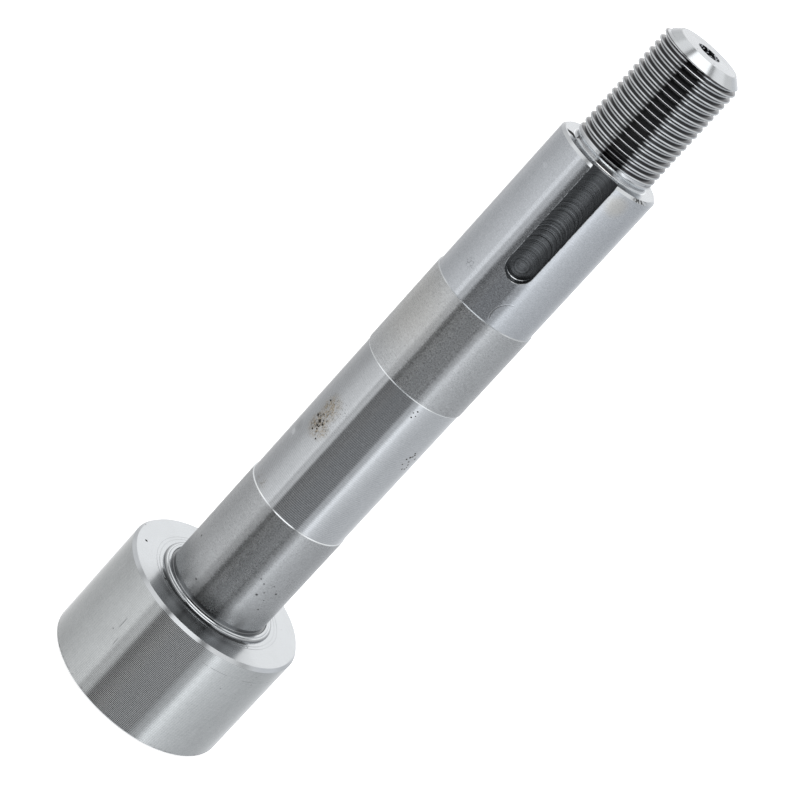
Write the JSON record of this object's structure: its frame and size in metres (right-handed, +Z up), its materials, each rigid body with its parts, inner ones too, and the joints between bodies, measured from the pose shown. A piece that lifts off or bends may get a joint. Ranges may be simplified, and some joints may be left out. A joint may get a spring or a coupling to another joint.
{
  "type": "mower deck spindle",
  "caption": "Stepped steel shaft with a drum head, two bearing seats, a keyed pulley seat and a threaded end for the pulley nut.",
  "frame": {"origin": "centre of the head's bottom face, which the blade is clamped against", "axes": "+Z up along the turning axis from the head to the threaded tip; -Y through the middle of the keyway"},
  "size_m": [0.0444, 0.0444, 0.1873],
  "materials": {
    "turned_steel": "bright turned and ground steel, bare, with a few small rust specks"
  },
  "bodies": {
    "root": {"spindle_shaft": "turned_steel"}
  },
  "joints": []
}
